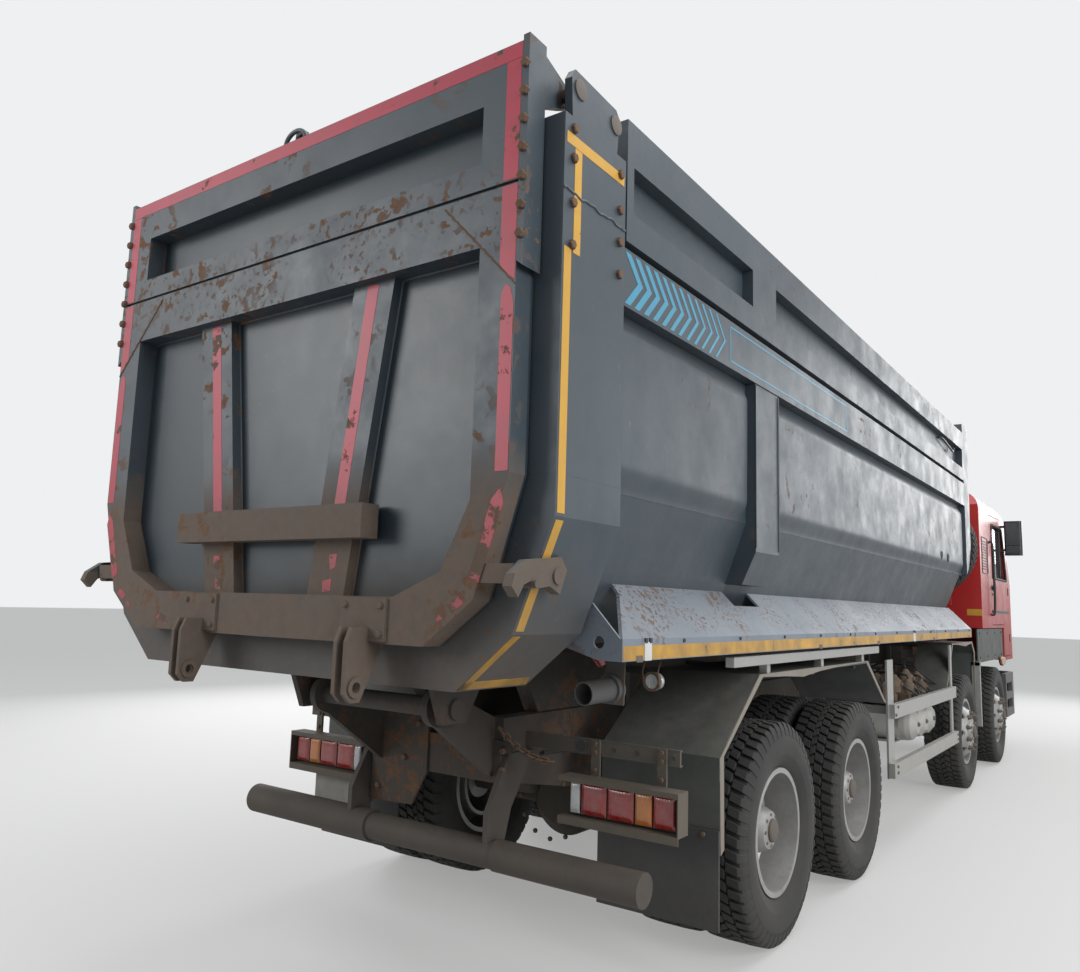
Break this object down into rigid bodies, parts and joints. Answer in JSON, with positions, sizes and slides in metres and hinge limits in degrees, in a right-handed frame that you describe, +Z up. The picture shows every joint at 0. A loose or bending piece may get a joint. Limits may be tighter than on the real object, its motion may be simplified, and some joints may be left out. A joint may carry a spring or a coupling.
{
  "type": "four-axle rear-tipping dump truck",
  "caption": "Rear-tipping dump truck with a half-pipe steel bed, top-hung tailgate, tilting sleeper cab, front telescopic hoist, steered front axles and twin rear wheels.",
  "frame": {"origin": "on the ground, in the middle of the truck's length and width", "axes": "+Y forward towards the cab, +X to the truck's right, +Z up"},
  "size_m": [2.92, 10.53, 3.48],
  "materials": {
    "bed_paint": "satin, dusty and scratched",
    "bed_inner": "worn to bare metal by loads",
    "skirt_paint": "satin, dusty",
    "cab_paint": "gloss",
    "cab_plastic": "matt",
    "seat_cloth": "woven",
    "chassis_paint": "satin, muddy",
    "axle_iron": "rough, muddy",
    "rim_steel": "satin, dusty",
    "tyre": "matt, muddy",
    "rubber": "matt",
    "mudguard": "matt, muddy",
    "bumper_paint": "matt",
    "tank_metal": "brushed",
    "white_paint": "satin",
    "lamp_lens": "clear",
    "tail_lens": "gloss",
    "window_glass": "clear, tinted",
    "hoist_steel": "oiled",
    "hoist_paint": "satin"
  },
  "bodies": {
    "chassis": {"chassis_frame": "chassis_paint", "front_axles": "axle_iron", "rear_axles": "axle_iron", "leaf_springs": "axle_iron", "drive_line": "axle_iron", "front_bumper": "bumper_paint", "front_lamps": "lamp_lens", "fuel_tank": "tank_metal", "air_tanks": "white_paint", "side_guards": "tank_metal", "mudguards": "mudguard", "mud_flaps": "rubber", "underrun_bar": "chassis_paint", "tail_lamps": "tail_lens", "spare_carrier": "chassis_paint", "spare_tyre": "tyre"},
    "cab": {"cab_shell": "cab_paint", "cab_glass": "window_glass", "cab_trim": "cab_plastic", "cab_interior": "seat_cloth"},
    "door_right": {"door_r": "cab_paint", "door_glass_r": "window_glass"},
    "door_left": {"door_l": "cab_paint", "door_glass_l": "window_glass"},
    "load_bed": {"bed_tub": "bed_inner", "bed_side_frame": "bed_paint", "bed_underframe": "bed_paint", "bed_extension": "bed_paint", "bed_headboard": "bed_paint", "bed_skirts": "skirt_paint"},
    "tailgate": {"gate_panel": "bed_paint", "gate_frame": "bed_paint", "gate_bars": "bed_paint"},
    "hoist_barrel": {"hoist_barrel": "hoist_paint"},
    "hoist_stage_1": {"hoist_stage_1": "hoist_steel"},
    "hoist_stage_2": {"hoist_stage_2": "hoist_steel"},
    "hoist_stage_3": {"hoist_stage_3": "hoist_steel"},
    "hoist_stage_4": {"hoist_stage_4": "hoist_steel"},
    "knuckle_1_right": {"knuckle_1_r": "axle_iron"},
    "wheel_1_right": {"tyre_1_r": "tyre", "rim_1_r": "rim_steel"},
    "knuckle_1_left": {"knuckle_1_l": "axle_iron"},
    "wheel_1_left": {"tyre_1_l": "tyre", "rim_1_l": "rim_steel"},
    "knuckle_2_right": {"knuckle_2_r": "axle_iron"},
    "wheel_2_right": {"tyre_2_r": "tyre", "rim_2_r": "rim_steel"},
    "knuckle_2_left": {"knuckle_2_l": "axle_iron"},
    "wheel_2_left": {"tyre_2_l": "tyre", "rim_2_l": "rim_steel"},
    "wheels_3_right": {"tyres_3_r": "tyre", "rims_3_r": "rim_steel"},
    "wheels_3_left": {"tyres_3_l": "tyre", "rims_3_l": "rim_steel"},
    "wheels_4_right": {"tyres_4_r": "tyre", "rims_4_r": "rim_steel"},
    "wheels_4_left": {"tyres_4_l": "tyre", "rims_4_l": "rim_steel"}
  },
  "joints": [
    {"name": "steer_1_right", "type": "hinge", "parent": "chassis", "child": "knuckle_1_right", "pos_m": [0.93, 3.805, 0.52], "axis": [0, 0, 1], "range_deg": [-40, 40]},
    {"name": "spin_1_right", "type": "hinge", "parent": "knuckle_1_right", "child": "wheel_1_right", "pos_m": [1.085, 3.805, 0.52], "axis": [1, 0, 0], "continuous": true},
    {"name": "steer_1_left", "type": "hinge", "parent": "chassis", "child": "knuckle_1_left", "pos_m": [-0.93, 3.805, 0.52], "axis": [0, 0, 1], "range_deg": [-40, 40]},
    {"name": "spin_1_left", "type": "hinge", "parent": "knuckle_1_left", "child": "wheel_1_left", "pos_m": [-1.085, 3.805, 0.52], "axis": [1, 0, 0], "continuous": true},
    {"name": "steer_2_right", "type": "hinge", "parent": "chassis", "child": "knuckle_2_right", "pos_m": [0.93, 1.945, 0.52], "axis": [0, 0, 1], "range_deg": [-29, 29]},
    {"name": "spin_2_right", "type": "hinge", "parent": "knuckle_2_right", "child": "wheel_2_right", "pos_m": [1.085, 1.945, 0.52], "axis": [1, 0, 0], "continuous": true},
    {"name": "steer_2_left", "type": "hinge", "parent": "chassis", "child": "knuckle_2_left", "pos_m": [-0.93, 1.945, 0.52], "axis": [0, 0, 1], "range_deg": [-29, 29]},
    {"name": "spin_2_left", "type": "hinge", "parent": "knuckle_2_left", "child": "wheel_2_left", "pos_m": [-1.085, 1.945, 0.52], "axis": [1, 0, 0], "continuous": true},
    {"name": "spin_3_right", "type": "hinge", "parent": "chassis", "child": "wheels_3_right", "pos_m": [1.075, -1.625, 0.52], "axis": [1, 0, 0], "continuous": true},
    {"name": "spin_3_left", "type": "hinge", "parent": "chassis", "child": "wheels_3_left", "pos_m": [-1.075, -1.625, 0.52], "axis": [1, 0, 0], "continuous": true},
    {"name": "spin_4_right", "type": "hinge", "parent": "chassis", "child": "wheels_4_right", "pos_m": [1.075, -2.965, 0.52], "axis": [1, 0, 0], "continuous": true},
    {"name": "spin_4_left", "type": "hinge", "parent": "chassis", "child": "wheels_4_left", "pos_m": [-1.075, -2.965, 0.52], "axis": [1, 0, 0], "continuous": true},
    {"name": "cab_tilt", "type": "hinge", "parent": "chassis", "child": "cab", "pos_m": [0, 5.135, 1], "axis": [-1, 0, 0], "range_deg": [0, 60]},
    {"name": "door_right_swing", "type": "hinge", "parent": "cab", "child": "door_right", "pos_m": [1.225, 4.932, 1.9], "axis": [0, 0, 1], "range_deg": [0, 75]},
    {"name": "door_left_swing", "type": "hinge", "parent": "cab", "child": "door_left", "pos_m": [-1.225, 4.932, 1.9], "axis": [0, 0, -1], "range_deg": [0, 75]},
    {"name": "bed_tip", "type": "hinge", "parent": "chassis", "child": "load_bed", "pos_m": [0, -4.515, 1.15], "axis": [1, 0, 0], "range_deg": [0, 45]},
    {"name": "gate_swing", "type": "hinge", "parent": "load_bed", "child": "tailgate", "pos_m": [0, -4.962, 3.317], "axis": [-1, 0, 0], "range_deg": [0, 90]},
    {"name": "hoist_swing", "type": "hinge", "parent": "chassis", "child": "hoist_barrel", "pos_m": [0, 2.585, 1.04], "axis": [1, 0, 0], "range_deg": [0, 23.91]},
    {"name": "hoist_extend_1", "type": "slide", "parent": "hoist_barrel", "child": "hoist_stage_1", "axis": [0, -0.064, 0.998], "range_m": [0, 1.32565]},
    {"name": "hoist_extend_2", "type": "slide", "parent": "hoist_stage_1", "child": "hoist_stage_2", "axis": [0, -0.064, 0.998], "range_m": [0, 1.32565]},
    {"name": "hoist_extend_3", "type": "slide", "parent": "hoist_stage_2", "child": "hoist_stage_3", "axis": [0, -0.064, 0.998], "range_m": [0, 1.32565]},
    {"name": "hoist_extend_4", "type": "slide", "parent": "hoist_stage_3", "child": "hoist_stage_4", "axis": [0, -0.064, 0.998], "range_m": [0, 1.32565]}
  ],
  "couplings": [
    {"joint": "steer_1_left", "follows": "steer_1_right", "ratio": 1},
    {"joint": "steer_2_right", "follows": "steer_1_right", "ratio": 0.7},
    {"joint": "steer_2_left", "follows": "steer_1_right", "ratio": 0.7},
    {"joint": "hoist_swing", "follows": "bed_tip", "ratio": 0.5309},
    {"joint": "hoist_extend_1", "follows": "bed_tip", "m_per_rad": 1.6872},
    {"joint": "hoist_extend_2", "follows": "bed_tip", "m_per_rad": 1.6872},
    {"joint": "hoist_extend_3", "follows": "bed_tip", "m_per_rad": 1.6872},
    {"joint": "hoist_extend_4", "follows": "bed_tip", "m_per_rad": 1.6872}
  ]
}
